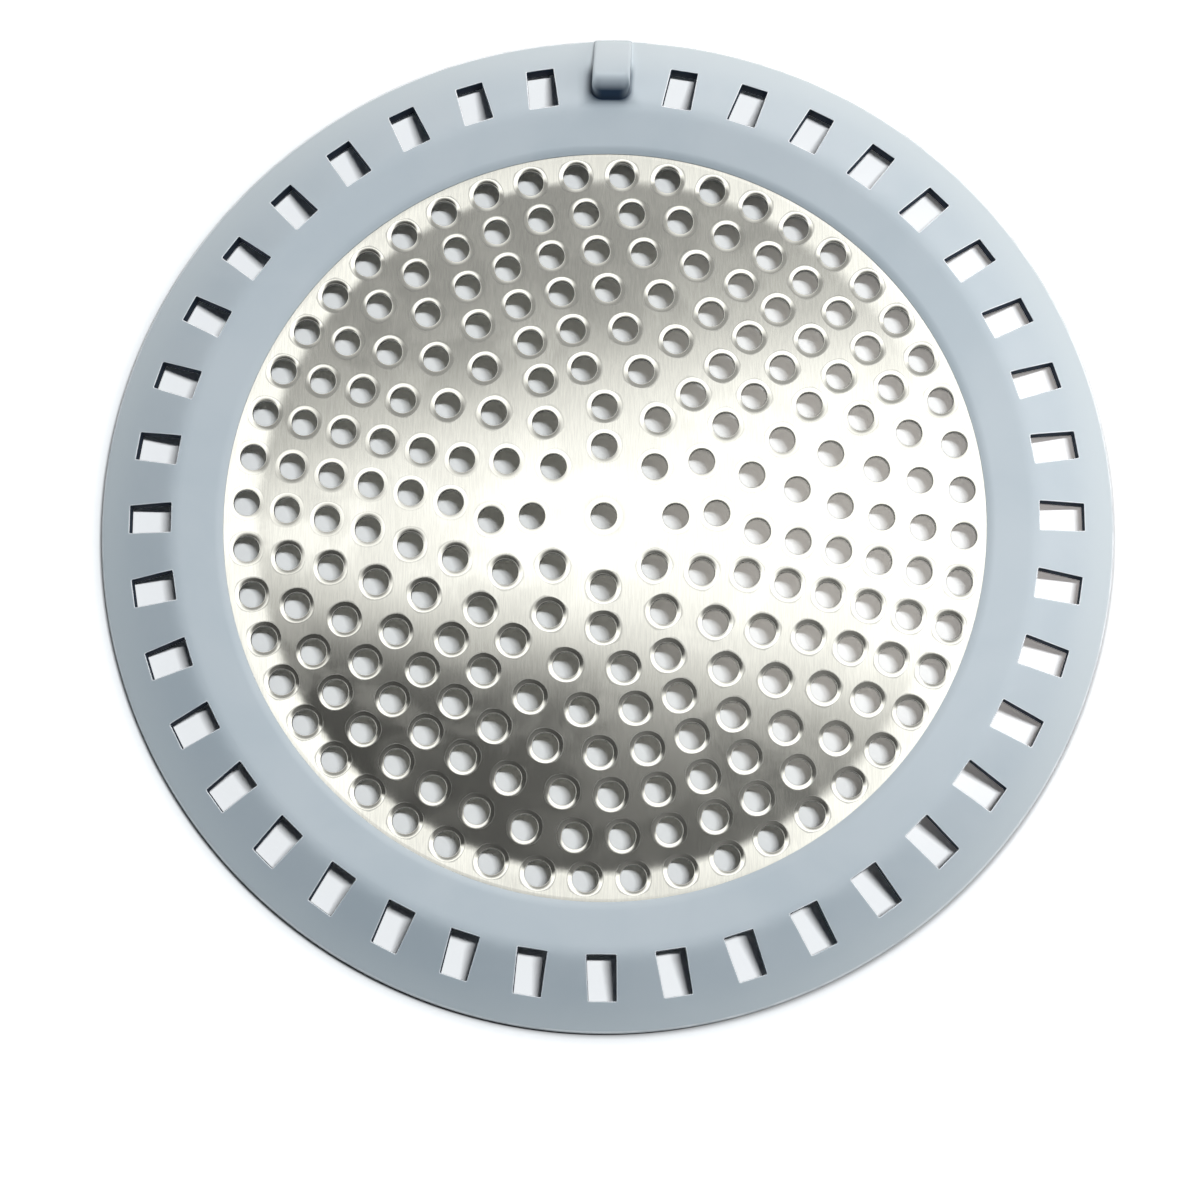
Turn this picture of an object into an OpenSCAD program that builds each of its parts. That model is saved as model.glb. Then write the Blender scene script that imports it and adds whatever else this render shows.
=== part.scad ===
// Shower drain hair catcher: a perforated steel plate held in a slotted silicone ring.
// Millimetres. The origin is the centre of the base, +Z is up and the lift tab is on +Y.

/* [Silicone ring] */
// Diameter across the outer rim
ring_d = 120.65; // [112:0.05:150]
// Height of the wall at the outer rim
rim_h = 1.6; // [1.2:0.1:2.2]
// Height of the crest that the slots start from
crest_h = 5.4; // [5.1:0.1:7]
// Radius that softens the crest
crest_round = 4.5; // [2:0.5:6]
// Width from the rim to the outer end of the slots
rim_w = 3.7; // [3:0.1:5]
// Width from the inner end of the slots to the edge of the window
band_w = 6.1; // [5:0.1:8]
// Thickness of the silicone under the crest
ring_wall = 2; // [1.6:0.1:2.2]
// Width of the foot that stands on the floor
foot_w = 1.7; // [1.2:0.1:2.4]
// Rounding of the rim's upper edge
rim_round = 0.5; // [0.3:0.05:0.6]
// Rounding of the foot's edges
foot_round = 0.3; // [0.15:0.05:0.4]

/* [Slots] */
// Places round the ring, one of which holds the tab
slot_places = 40; // [30:1:44]
// Length of a slot along the radius
slot_l = 5.4; // [4:0.1:6]
// Width of a slot at its inner end
slot_w_in = 3.5; // [2.5:0.1:4]
// Width of a slot at its outer end
slot_w_out = 3.3; // [2.5:0.1:4]

/* [Lift tab] */
// Width of the tab
tab_w = 4.6; // [4:0.1:7]
// Length of the tab, from the rim inwards
tab_l = 8.6; // [6:0.1:9]
// Height of the tab's nose above the ring
tab_h = 2.4; // [1.8:0.1:3]
// Height of the tab's outer end above the rim
tab_lead = 0.5; // [0.3:0.1:1]
// Rounding of the tab's nose
tab_round = 1.4; // [0.6:0.1:1.6]
// Rounding of the tab's outer end
tab_end_round = 0.5; // [0.3:0.1:0.6]

/* [Steel plate] */
// Thickness of the sheet
plate_t = 0.8; // [0.5:0.1:1]
// Height of the sheet's upper face where the ring grips it
plate_h = 4.1; // [3.8:0.1:4.3]
// Rise of the dome above its own edge
dome_rise = 1.9; // [1:0.1:4]
// Width of the margin that shows between the dome and the window
margin_w = 3.8; // [1.5:0.1:5]
// Depth by which the margin dips from the window to the dome's edge
margin_dip = 0.05; // [0:0.05:0.5]
// Depth to which the ring grips the plate's edge
grip_w = 2.8; // [1.5:0.1:3]
// Gap between the plate and its groove
grip_gap = 0.02; // [0.01:0.01:0.1]
// Height of the ring's lip over the plate, above its bevel
lip_h = 0.45; // [0.35:0.05:0.7]
// Height of the lip's thin edge, below its bevel
lip_edge_h = 0.1; // [0.1:0.05:0.25]
// Width of the lip's bevel
lip_w = 0.8; // [0.5:0.1:1.2]
// Radius that softens the upper end of the lip's bevel
lip_round = 1; // [0.5:0.1:1.5]
// Thickness of the ring's seat under the plate
seat_t = 1.2; // [0.8:0.1:1.8]
// Thickness of the silicone outside the groove
groove_wall = 1.4; // [1:0.1:1.8]

/* [Drain holes] */
// Diameter of a hole
hole_d = 3.1; // [2.4:0.1:3.3]
// Width of the broken edge round a hole
edge_w = 0.3; // [0.1:0.05:0.35]
// Depth of the broken edge round a hole
edge_t = 0.2; // [0.1:0.05:0.35]
// Radius of the first ring of holes
first_ring_r = 8.45; // [7.5:0.05:9.5]
// Width from the window's edge to the centres of the last ring of holes
last_ring_in = 2.65; // [2.5:0.05:4]

/* [Hidden] */
$fn = 128;
arc_steps = 8;
over = 1;

ring_r = ring_d / 2;
slot_out_r = ring_r - rim_w;
slot_in_r = slot_out_r - slot_l;
window_r = slot_in_r - band_w;
groove_r = window_r + grip_w + grip_gap;
groove_top = plate_h + grip_gap;
groove_low = plate_h - plate_t - grip_gap;
bead_low = groove_low - seat_t;
crest_slope = (crest_h - rim_h) / (ring_r - slot_in_r);
slot_step = 360 / slot_places;

// Places of the holes in one sixth of rings two to seven, as shares of sixty degrees
sector_shares = [
    [0.03, 0.5],
    [0.27, 0.63, 0.91],
    [0.14, 0.4, 0.66, 0.88],
    [0.05, 0.27, 0.49, 0.68, 0.865],
    [0.005, 0.175, 0.365, 0.53, 0.69, 0.85],
    [0.12, 0.27, 0.42, 0.56, 0.7, 0.84, 0.975]
];
sectors = 6;
sector = 360 / sectors;
// Holes in the first and last rings, which are evenly spaced
first_count = 8;
last_count = 48;
last_turn_share = 0.082;
last_ring_r = window_r - last_ring_in;
ring_step = (last_ring_r - first_ring_r) / (len(sector_shares) + 1);
dome_r = window_r - margin_w;
dome_ball = (dome_r * dome_r + dome_rise * dome_rise) / (2 * dome_rise);

function unit(v) = v / norm(v);

// Points of the arc that rounds corner b, between neighbours a and c, to radius r
function corner(a, b, c, r) =
    let (u = unit(a - b), w = unit(c - b), half = acos(u * w) / 2)
    let (centre = b + unit(u + w) * r / sin(half))
    let (from = b + u * r / tan(half) - centre, to = b + w * r / tan(half) - centre)
    let (start = atan2(from.y, from.x), turn = (atan2(to.y, to.x) - start + 540) % 360 - 180)
    [for (i = [0:arc_steps]) centre + r * [cos(start + turn * i / arc_steps), sin(start + turn * i / arc_steps)]];

// A closed outline from corners given as [x, y, radius]
function outline(p) = [
    for (i = [0:len(p) - 1])
        let (a = p[(i + len(p) - 1) % len(p)], b = p[i], c = p[(i + 1) % len(p)])
        each b[2] == 0 ? [[b.x, b.y]] : corner([a.x, a.y], [b.x, b.y], [c.x, c.y], b[2])
];

// Height of the ring's outer slope at radius r
function slope_z(r) = rim_h + (ring_r - r) * crest_slope;

// Height of the dome's upper face at radius r
function dome_z(r) = plate_h - margin_dip + dome_rise - dome_ball + sqrt(dome_ball * dome_ball - r * r);

// Height of the sheet's upper face at radius r inside the window
function sheet_z(r) = r < dome_r ? dome_z(r) : plate_h - margin_dip * (window_r - r) / margin_w;

// Half of the ring's cross section: bevelled lip, crest, slope, rim, foot, underside, seat and groove
module ring_section() {
    polygon(outline([
        [window_r, groove_top, 0],
        [window_r, groove_top + lip_edge_h, lip_edge_h / 2],
        [window_r + lip_w, groove_top + lip_h, lip_round],
        [slot_in_r, crest_h, crest_round],
        [ring_r, rim_h, rim_round],
        [ring_r, 0, foot_round],
        [ring_r - foot_w, 0, foot_round],
        [slot_in_r, crest_h - ring_wall, foot_round],
        [groove_r + groove_wall, bead_low, foot_round],
        [window_r, bead_low, foot_round],
        [window_r, groove_low, 0],
        [groove_r, groove_low, 0],
        [groove_r, groove_top, 0]
    ]));
}

// A tapered slot through the ring on +X
module slot() {
    translate([0, 0, -over])
        linear_extrude(crest_h + 2 * over)
            polygon([
                [slot_in_r, -slot_w_in / 2],
                [slot_out_r, -slot_w_out / 2],
                [slot_out_r, slot_w_out / 2],
                [slot_in_r, slot_w_in / 2]
            ]);
}

// The lift tab on +Y: it leaves the rim low and ends in a raised round nose
module lift_tab() {
    nose_y = ring_r - tab_l + tab_round;
    end_y = ring_r - foot_round - tab_end_round;
    hull()
        for (side = [-1, 1]) {
            for (z = [slope_z(nose_y) + tab_h - tab_round, slope_z(nose_y)])
                translate([side * (tab_w / 2 - tab_round), nose_y, z])
                    sphere(r = tab_round, $fn = 24);
            for (z = [rim_h + tab_lead - tab_end_round, tab_end_round + foot_round])
                translate([side * (tab_w / 2 - tab_end_round), end_y, z])
                    sphere(r = tab_end_round, $fn = 24);
        }
}

module silicone_ring() {
    color([0.66, 0.72, 0.76])
        union() {
            difference() {
                rotate_extrude($fn = 360)
                    ring_section();
                for (i = [1:slot_places - 1])
                    rotate([0, 0, 90 + i * slot_step])
                        slot();
            }
            lift_tab();
        }
}

// A hole at radius r and angle a, with its broken upper edge
module drain_hole(r, a) {
    rotate([0, 0, a])
        translate([r, 0, sheet_z(r)]) {
            translate([0, 0, -plate_t - over])
                cylinder(d = hole_d, h = plate_t + 2 * over, $fn = 32);
            translate([0, 0, -edge_t])
                cylinder(d1 = hole_d, d2 = hole_d + 4 * edge_w, h = 2 * edge_t, $fn = 32);
        }
}

module drain_holes() {
    drain_hole(0, 0);
    for (i = [0:first_count - 1])
        drain_hole(first_ring_r, i * 360 / first_count);
    for (k = [0:len(sector_shares) - 1], s = [0:sectors - 1], share = sector_shares[k])
        drain_hole(first_ring_r + (k + 1) * ring_step, (s + share) * sector);
    for (i = [0:last_count - 1])
        drain_hole(last_ring_r, last_turn_share * sector + i * 360 / last_count);
}

// The sheet before it is pierced: a shallow dome, a margin that rises from it and a flat edge
module plate_blank() {
    dome_shares = [for (i = [0:2 * arc_steps]) i / (2 * arc_steps)];
    edge_r = window_r + grip_w;
    rotate_extrude($fn = 360)
        polygon([
            for (s = dome_shares) [s * dome_r, dome_z(s * dome_r)],
            [window_r, plate_h],
            [edge_r, plate_h],
            [edge_r, plate_h - plate_t],
            [window_r, plate_h - plate_t],
            for (s = dome_shares) [(1 - s) * dome_r, dome_z((1 - s) * dome_r) - plate_t]
        ]);
}

module strainer_plate() {
    color([0.78, 0.77, 0.74])
        difference() {
            plate_blank();
            drain_holes();
        }
}

silicone_ring();
strainer_plate();
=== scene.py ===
# Shower drain hair catcher: a perforated steel plate gripped by a slotted silicone ring.
import math

import bmesh
import bpy
import numpy as np
from mathutils import Matrix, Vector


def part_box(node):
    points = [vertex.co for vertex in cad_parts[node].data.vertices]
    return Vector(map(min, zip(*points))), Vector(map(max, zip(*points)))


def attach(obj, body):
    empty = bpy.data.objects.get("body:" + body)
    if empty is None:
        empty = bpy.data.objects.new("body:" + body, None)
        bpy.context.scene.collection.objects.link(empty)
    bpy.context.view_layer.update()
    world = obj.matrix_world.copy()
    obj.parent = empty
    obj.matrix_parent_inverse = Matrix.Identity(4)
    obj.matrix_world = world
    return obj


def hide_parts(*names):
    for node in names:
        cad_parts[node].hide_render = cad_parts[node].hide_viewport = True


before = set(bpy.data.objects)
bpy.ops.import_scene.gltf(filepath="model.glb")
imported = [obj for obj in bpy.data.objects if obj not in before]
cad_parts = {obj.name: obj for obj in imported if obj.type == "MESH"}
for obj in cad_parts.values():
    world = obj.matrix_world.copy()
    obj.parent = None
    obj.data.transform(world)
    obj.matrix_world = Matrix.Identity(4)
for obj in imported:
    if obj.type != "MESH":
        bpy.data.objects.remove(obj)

mm = 0.001
tiny = 1e-6  # millimetres, below which two lengths are the same
sharpFrom = math.radians(35)
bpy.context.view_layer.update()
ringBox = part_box("silicone_ring")
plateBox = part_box("strainer_plate")
print("frame loaded:", sorted(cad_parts))


# Surfaces: every piece is a set of point grids in millimetres, sewn along their shared edges

def gridFaces(rows, cols, copies=1, closed=False):
    # Quads between neighbours of a grid of rows and columns; closed joins the last column to the first
    r, c = np.meshgrid(np.arange(rows - 1), np.arange(cols - (not closed)), indexing="ij")
    nextC = (c + 1) % cols
    one = np.stack([r * cols + c, r * cols + nextC, (r + 1) * cols + nextC, (r + 1) * cols + c], -1)
    shift = np.arange(copies)[:, None, None] * rows * cols
    return (one.reshape(1, -1, 4) + shift).reshape(-1, 4)


def zipFaces(anglesA, anglesB, closed=True):
    # Triangles between two rows of points: in order of angle, each point joins the one before it
    # and the last point opposite
    fromA = np.argsort(np.concatenate([anglesA, anglesB]), kind="stable") < len(anglesA)
    doneA, doneB = np.cumsum(fromA) - 1, np.cumsum(~fromA) - 1
    nA, nB = len(anglesA), len(anglesB)
    a, b = doneA % nA, doneB % nB + nA
    before = np.where(fromA, (doneA - 1) % nA, (doneB - 1) % nB + nA)
    keep = closed | ((doneA >= 0) & (doneB >= 0) & (np.where(fromA, doneA, doneB) > 0))
    return np.stack([a, b, before], -1)[keep]


def sew(patches, step=1e-5):
    # Joins the patches and merges points that lie on each other: returns points, faces
    # and the first copy of each point
    points = np.concatenate([p.reshape(-1, 3) for p, f in patches])
    starts = np.cumsum([0] + [p.size // 3 for p, f in patches[:-1]])
    keys = np.round(points / step).astype(np.int64)
    _, first, place = np.unique(keys, axis=0, return_index=True, return_inverse=True)
    place = place.reshape(-1)
    faces = [place[f + s].tolist() for (p, f), s in zip(patches, starts)]
    return points[first], sum(faces, []), first


def makePiece(name, patches, normals=None, marks=None):
    # Marks are named masks, with a value for each point of the patches
    points, faces, first = sew(patches)
    mesh = bpy.data.meshes.new(name)
    mesh.from_pydata((points * mm).tolist(), [], faces)
    shell = bmesh.new()
    shell.from_mesh(mesh)
    bmesh.ops.recalc_face_normals(shell, faces=shell.faces[:])
    shell.to_mesh(mesh)
    openEdges = sum(not e.is_manifold for e in shell.edges)
    shell.free()
    mesh.shade_smooth()
    if normals is None:
        mesh.set_sharp_from_angle(angle=sharpFrom)
    else:
        mesh.normals_split_custom_set_from_vertices(normals[first].tolist())
    for label, values in (marks or {}).items():
        mesh.attributes.new(label, "FLOAT", "POINT").data.foreach_set("value", values[first])
    piece = bpy.data.objects.new(name, mesh)
    bpy.context.scene.collection.objects.link(piece)
    triangles = sum(len(f) - 2 for f in faces)
    print(f"{name}: {len(points)} points, {triangles} triangles, {openEdges} open edges")
    return piece


def unitRows(v):
    return v / np.linalg.norm(v, axis=-1, keepdims=True)


def smooth(x, low, high):
    # From 0 to 1 between low and high, level at both ends: 3 t^2 - 2 t^3
    t = np.clip((x - low) / (high - low), 0, 1)
    return t * t * (3 - 2 * t)


def roundedPath(corners, steps, support):
    # Each corner (r, z, radius) gives an arc tangent to its two sides, with one more point on each side:
    # centre = corner + bisector * radius / sin(half the angle)
    p = np.array(corners, float)
    b, radius = p[:, :2], p[:, 2]
    u, w = unitRows(np.roll(b, 1, 0) - b), unitRows(np.roll(b, -1, 0) - b)
    half = np.arccos((u * w).sum(1)) / 2
    reach = radius / np.tan(half)
    centre = b + unitRows(u + w) * (radius / np.sin(half))[:, None]
    begin, end = b + u * reach[:, None] - centre, b + w * reach[:, None] - centre
    start = np.arctan2(begin[:, 1], begin[:, 0])
    turn = (np.arctan2(end[:, 1], end[:, 0]) - start + 3 * np.pi) % (2 * np.pi) - np.pi
    angle = start[:, None] + turn[:, None] * np.linspace(0, 1, steps + 1)
    arc = centre[:, None] + radius[:, None, None] * np.stack([np.cos(angle), np.sin(angle)], -1)
    before = b + u * (reach + support)[:, None]
    after = b + w * (reach + support)[:, None]
    path = np.concatenate([before[:, None], arc, after[:, None]], 1)
    return [c[np.r_[True, np.linalg.norm(np.diff(c, axis=0), axis=1) > tiny]] for c in path]


def turned(path, angles):
    # A path of (r, z) carried round the axis through the angles
    r, z = path[:, 0][:, None], path[:, 1][:, None]
    return np.stack([r * np.cos(angles), r * np.sin(angles), z + 0 * angles], -1)


# Silicone ring, millimetres
ring = {
    "outerR": ringBox[1].x / mm,
    "rimHigh": 1.6,
    "crestHigh": 5.4,
    "crestRound": 4.5,
    "rimWide": 3.7,  # from the rim in to the slots
    "bandWide": 6.1,  # from the slots in to the window
    "wall": 2.0,
    "footWide": 1.7,
    "rimRound": 0.5,
    "footRound": 0.3,
    "grooveTop": 4.12,
    "grooveLow": 3.28,
    "grooveDeep": 2.82,
    "grooveWall": 1.4,
    "seat": 1.2,  # thickness under the plate
    "lip": 0.5,  # height of the lip over the plate
    "lipWide": 0.65,
    "lipRound": 2.0,
    "lipEdge": 0.1,
    "lipEdgeRound": 0.05,
    "slotLong": 5.4,
    "slotInner": 3.5,
    "slotOuter": 3.3,
    "slotCorner": 0.12,
    "slotEdge": 0.1,
    "places": 40,  # 39 slots and the tab
    "collar": 0.7,  # plain silicone inside and outside the slots that belongs to their cells
    "columns": 12,
    "rungs": 14,
    "cellShares": (0, 0.45, 0.8, 1),  # rows from a cell's border to its slot
    "cornerSteps": 3,
    "brinkSteps": 4,
    "arcSteps": 6,
    "fineSteps": 60,
    "support": 0.06,  # from an arc to the extra point beside it
    "clear": 0.05,
    "rimHighlight": ([2, 3.5, 5, 7], [0, 1, 1, 0]),  # row numbers, and the painted highlight on each row
    "brinkHighlight": ([3, 5, 6, 8], [0, 1, 1, 0]),
    # row numbers, and how dark the painted shade is on each row of a slot's wall
    "wallShade": ([7, 8, 10, 12], [0, 1, 1, 0]),
    "waves": [(1, 0, -0.31), (2, 0.26, 0.2), (3, 0.11, -0.07)],  # count round the ring, cosine, sine
    "offCentre": (0.2, 0.25),
}
slotOut = ring["outerR"] - ring["rimWide"]
slotIn = slotOut - ring["slotLong"]
windowR = slotIn - ring["bandWide"]
cellIn, cellOut = slotIn - ring["collar"], slotOut + ring["collar"]
beadLow = ring["grooveLow"] - ring["seat"]
cellTurn = 2 * np.pi / ring["places"]


def ringCorners():
    # The ring's cross section: lip, crest, rim, foot, hollow, bead and groove
    g = ring
    grooveR = windowR + g["grooveDeep"]
    return [
        (windowR, g["grooveTop"], 0),
        (windowR, g["grooveTop"] + g["lipEdge"], g["lipEdgeRound"]),
        (windowR + g["lipWide"], g["grooveTop"] + g["lip"], g["lipRound"]),
        (slotIn, g["crestHigh"], g["crestRound"]),
        (g["outerR"], g["rimHigh"], g["rimRound"]),
        (g["outerR"], 0, g["footRound"]),
        (g["outerR"] - g["footWide"], 0, g["footRound"]),
        (slotIn, g["crestHigh"] - g["wall"], g["footRound"]),
        (grooveR + g["grooveWall"], beadLow, g["footRound"]),
        (windowR, beadLow, g["footRound"]),
        (windowR, g["grooveLow"], 0),
        (grooveR, g["grooveLow"], 0),
        (grooveR, g["grooveTop"], 0),
    ]


# The section's upper and lower lines, as heights against the radius
fine = roundedPath(ringCorners(), ring["fineSteps"], ring["support"])
topLine = np.concatenate(fine[1:5])
topLine = topLine[: np.argmax(topLine[:, 0]) + 1]
underLine = np.concatenate(fine[6:9])[::-1]


def topZ(r):
    return np.interp(r, topLine[:, 0], topLine[:, 1])


def underZ(r):
    return np.interp(r, underLine[:, 0], underLine[:, 1])


def boxSide(half, reach, corner, straight, arcs):
    # One side of a rounded box, from mid corner to mid corner: places along the side
    # and distances from the middle
    phi = np.linspace(np.pi / 4, 0, arcs + 1)
    end = half - corner + corner * np.sin(phi)
    mid = np.linspace(corner - half, half - corner, straight + 1)[1:-1]
    along = np.concatenate([-end, mid, end[::-1]])
    drop = corner * (1 - np.cos(phi))
    out = reach - np.concatenate([drop, 0 * mid, drop[::-1]])
    return along, out


def slotLoop(offset):
    # The slot's outline grown by the offset, as a closed loop of (radial, sideways) points
    # that starts inside left
    g, arcs = ring, ring["cornerSteps"]
    middle, wide = (slotIn + slotOut) / 2, (g["slotInner"] + g["slotOuter"]) / 2
    halfLong, halfWide, corner = g["slotLong"] / 2 + offset, wide / 2 + offset, g["slotCorner"] + offset
    sAlong, sOut = boxSide(halfWide, halfLong, corner, g["columns"] - 2 * arcs, arcs)
    lAlong, lOut = boxSide(halfLong, halfWide, corner, g["rungs"] - 2 * arcs, arcs)
    x = np.concatenate([-sOut[:-1], lAlong[:-1], sOut[:-1], -lAlong[:-1]])
    y = np.concatenate([sAlong[:-1], lOut[:-1], -sAlong[:-1], -lOut[:-1]])
    taper = (g["slotOuter"] - g["slotInner"]) / g["slotLong"] / wide
    return np.stack([x + middle, y * (1 + taper * x)], -1)


def cellLoop(inner, outer, left, right, columns, rungs):
    # The outline of a cell of the ring in the same order: inner side, right side, outer side, left side
    across = np.linspace(left, right, columns + 1)
    along = np.linspace(inner, outer, rungs + 1)
    r = np.concatenate([0 * across[:-1] + inner, along[:-1], 0 * across[:-1] + outer, along[:0:-1]])
    a = np.concatenate([across[:-1], 0 * along[:-1] + right, across[:0:-1], 0 * along[:-1] + left])
    return np.stack([r * np.cos(a), r * np.sin(a)], -1)


def slotCell():
    # A cell with its slot: the top runs in to the slot, rounds its edge, drops down the wall
    # and runs out below
    g = ring
    edge, support = g["slotEdge"], g["support"]
    border = cellLoop(cellIn, cellOut, -cellTurn / 2, cellTurn / 2, g["columns"], g["rungs"])
    mouth = slotLoop(edge + support)
    flat = [border + (mouth - border) * share for share in g["cellShares"]]
    brink = slotLoop(edge)
    phis = np.linspace(0, np.pi / 2, g["brinkSteps"] + 1)
    bend = [slotLoop(edge * (1 - np.sin(p))) for p in phis]
    down = edge * (1 - np.cos(phis))[:, None]
    brinkR = np.linalg.norm(brink, axis=1)
    topBend = topZ(brinkR) - down
    lowBend = underZ(brinkR) + down
    wall = [(topBend[-1] + lowBend[-1]) / 2]
    flatR = np.linalg.norm(np.array(flat), axis=-1)
    plan = np.array(flat + bend + [bend[-1]] + bend[::-1] + flat[::-1])
    z = np.concatenate([topZ(flatR), topBend, wall, lowBend[::-1], underZ(flatR[::-1])])
    return np.concatenate([plan, z[..., None]], -1)


def turnedCopies(grid, angles):
    # Copies of a grid of points turned about the axis
    c, s = np.cos(angles)[:, None, None], np.sin(angles)[:, None, None]
    x, y, z = grid[None, ..., 0], grid[None, ..., 1], grid[None, ..., 2]
    return np.stack([c * x - s * y, s * x + c * y, z + 0 * c], -1)


# Lift tab, millimetres, moulded with the ring on +Y
tab = {
    "halfWide": 2.3,
    "long": 8.6,
    "topHigh": ringBox[1].z / mm,
    "lead": 0.5,  # height of the outer end over the rim
    "levelling": 0.25,  # how softly the rise levels off
    "cornerRound": 1.3,
    "topCorner": 0.5,  # share of the corner's radius that the top keeps
    "noseRound": 2.5,
    "edgeRound": 0.4,
    "edgeMost": 0.9,  # most of the wall that a round may take
    "flare": 0.15,
    "footShares": (0, 0.4, 0.75, 0.93),  # rows from the cell's border to the tab's foot
    "wallShares": (0.35, 0.7),
    "spineShares": (0.3, 0.65, 1),  # rows over the top to the centre line
    "spineIn": 0.3,
    "flareSteps": 4,
    "edgeSteps": 9,
    # Painted shadow round the tab's foot, as row numbers and how dark each row is: on the right side, on
    # the left side and under the nose
    "sideShades": [
        ([2, 4, 10, 13], [0, 0.6, 0.6, 0]),
        ([0, 1, 2, 3, 5, 10, 14], [0, 0.15, 0.5, 0.75, 0.95, 0.9, 0]),
    ],
    "noseShade": ([0, 1, 2, 3, 5, 15, 17, 20], [0, 0.1, 0.35, 0.7, 1, 1, 0.5, 0]),
    "sideStart": 5,  # columns over which the sides darken, inwards from the rim
    "noseEnd": 4,  # columns of the nose's middle that are fully dark
}


def tabHalf(rimPath):
    # Half of the tab and the ring round it. Columns follow the cell's border: up the rim wall, in along
    # the side and across the nose. Rows run from that border up a flared foot, the wall and a round edge
    # to the centre line
    g, t, arcs = ring, tab, ring["cornerSteps"]
    nRim, nSide, nNose = len(rimPath), g["rungs"], g["columns"] // 2
    nStraight = nSide - arcs
    sideR = np.linspace(cellOut, cellIn, nSide + 1)[1:]
    borderR = np.concatenate([rimPath[:, 0], sideR, np.full(nNose, cellIn)])
    borderA = np.concatenate([np.full(nRim + nSide, 0.5), np.linspace(0.5, 0, nNose + 1)[1:]]) * cellTurn
    border = np.stack([borderR * np.sin(borderA), borderR * np.cos(borderA)], -1)
    frontY = g["outerR"] - t["long"]
    cornerPhi = np.linspace(0, np.pi / 2, 2 * arcs + 1)[1:]
    # From 0 along the side to 1 across the nose
    ends = np.zeros(nRim + nStraight), np.ones(nNose - arcs)
    towardsNose = np.concatenate([ends[0], np.sin(cornerPhi) ** 2, ends[1]])

    def outline(insetX, insetY, radius):
        # The tab's plan: straight sides and a straight nose, set in by the insets, round at the corner
        sideX, noseY = t["halfWide"] - insetX, frontY + insetY
        sideStart = math.sqrt(cellOut**2 - sideX**2)
        straight = sideStart + (noseY + radius - sideStart) * np.linspace(0, 1, nStraight + 1)[1:]
        front = (sideX - radius) * np.linspace(1, 0, nNose - arcs + 1)[1:]
        cornerX = sideX - radius * (1 - np.cos(cornerPhi))
        cornerY = noseY + radius * (1 - np.sin(cornerPhi))
        px = np.concatenate([np.full(nRim + nStraight, sideX), cornerX, front])
        rimY = np.sqrt(rimPath[:, 0] ** 2 - sideX**2)
        py = np.concatenate([rimY, straight, cornerY, np.full(len(front), noseY)])
        return np.stack([px, py], -1)

    slope = (g["crestHigh"] - g["rimHigh"]) / (g["outerR"] - slotIn)
    tabSlope = (t["topHigh"] - g["rimHigh"] - t["lead"]) / (t["long"] - t["noseRound"])

    def tabZ(y):
        # A straight rise that levels off softly: full - soft * log(1 + exp((full - rise) / soft))
        rise = (g["outerR"] - y) * tabSlope
        full = t["topHigh"] - g["rimHigh"] - t["lead"]
        soft = t["levelling"]
        return g["rimHigh"] + t["lead"] + full - soft * np.log1p(np.exp((full - rise) / soft))

    wallTop = rimPath[rimPath[:, 0] > g["outerR"] - tiny, 1].max()
    wallShare = np.clip((rimPath[:, 1] - rimPath[0, 1]) / (wallTop - rimPath[0, 1]), 0, 1)
    rimRise = (t["lead"] + (g["outerR"] - rimPath[:, 0]) * (tabSlope - slope)) * wallShare
    base = outline(0, 0, t["cornerRound"])
    high = tabZ(base[:, 1]) - topZ(np.linalg.norm(base, axis=1))
    high[:nRim] = np.maximum(rimRise, t["lead"])
    edge = t["edgeRound"] + (t["noseRound"] - t["edgeRound"]) * towardsNose
    edge = np.minimum(edge, t["edgeMost"] * high)

    def row(plan, share):
        # Points over the plan, at a share of the way from the ring's surface up to the tab's top
        r = np.linalg.norm(plan, axis=1)
        z = topZ(r) + share * (tabZ(plan[:, 1]) - topZ(r))
        z[:nRim] = rimPath[:, 1] + (share + np.zeros(len(z)))[:nRim] * rimRise
        return np.concatenate([plan, z[:, None]], -1)

    def lateral(plan):
        # Rim columns keep their own radius, so the wall stays on the ring's outer cylinder
        plan = plan.copy()
        plan[:nRim, 1] = np.sqrt(rimPath[:, 0] ** 2 - plan[:nRim, 0] ** 2)
        return plan

    def flared(grow):
        return outline(-grow, -grow, t["cornerRound"] + grow)

    foot = flared(t["flare"])
    rows = [row(lateral(border + (foot - border) * s), 0) for s in t["footShares"]]
    for p in np.linspace(0, np.pi / 2, t["flareSteps"] + 1):
        rows.append(row(flared(t["flare"] * (1 - np.sin(p))), t["flare"] * (1 - np.cos(p)) / high))
    low, top = t["flare"] / high, 1 - edge / high
    for s in t["wallShares"]:
        rows.append(row(base, low + (top - low) * s))
    for p in np.linspace(0, np.pi / 2, t["edgeSteps"] + 1):
        inset = 1 - np.cos(p)
        radius = t["cornerRound"] * (1 - (1 - t["topCorner"]) * inset)
        plan = outline(t["edgeRound"] * inset, t["noseRound"] * inset, radius)
        rows.append(row(plan, 1 - edge * (1 - np.sin(p)) / high))
    inset = rows[-1][:, :2]
    spineY = inset[:, 1].copy()
    tail = slice(nRim + nStraight - 1, None)
    spineY[tail] = np.linspace(inset[tail][0, 1], inset[-1, 1] + t["spineIn"], len(spineY[tail]))
    spine = np.stack([0 * spineY, spineY], -1)
    for s in t["spineShares"]:
        rows.append(row(lateral(inset + (spine - inset) * s), 1))
    rows = np.array(rows)
    # Down the rim wall the rows spread out evenly again
    even = rows[:1, :nRim, 0] * np.linspace(1, 0, len(rows))[:, None]
    rows[:, :nRim, 0] = even + (rows[:, :nRim, 0] - even) * wallShare
    rows[:, :nRim, 1] = np.sqrt(rimPath[:, 0] ** 2 - rows[:, :nRim, 0] ** 2)
    return rows


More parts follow.
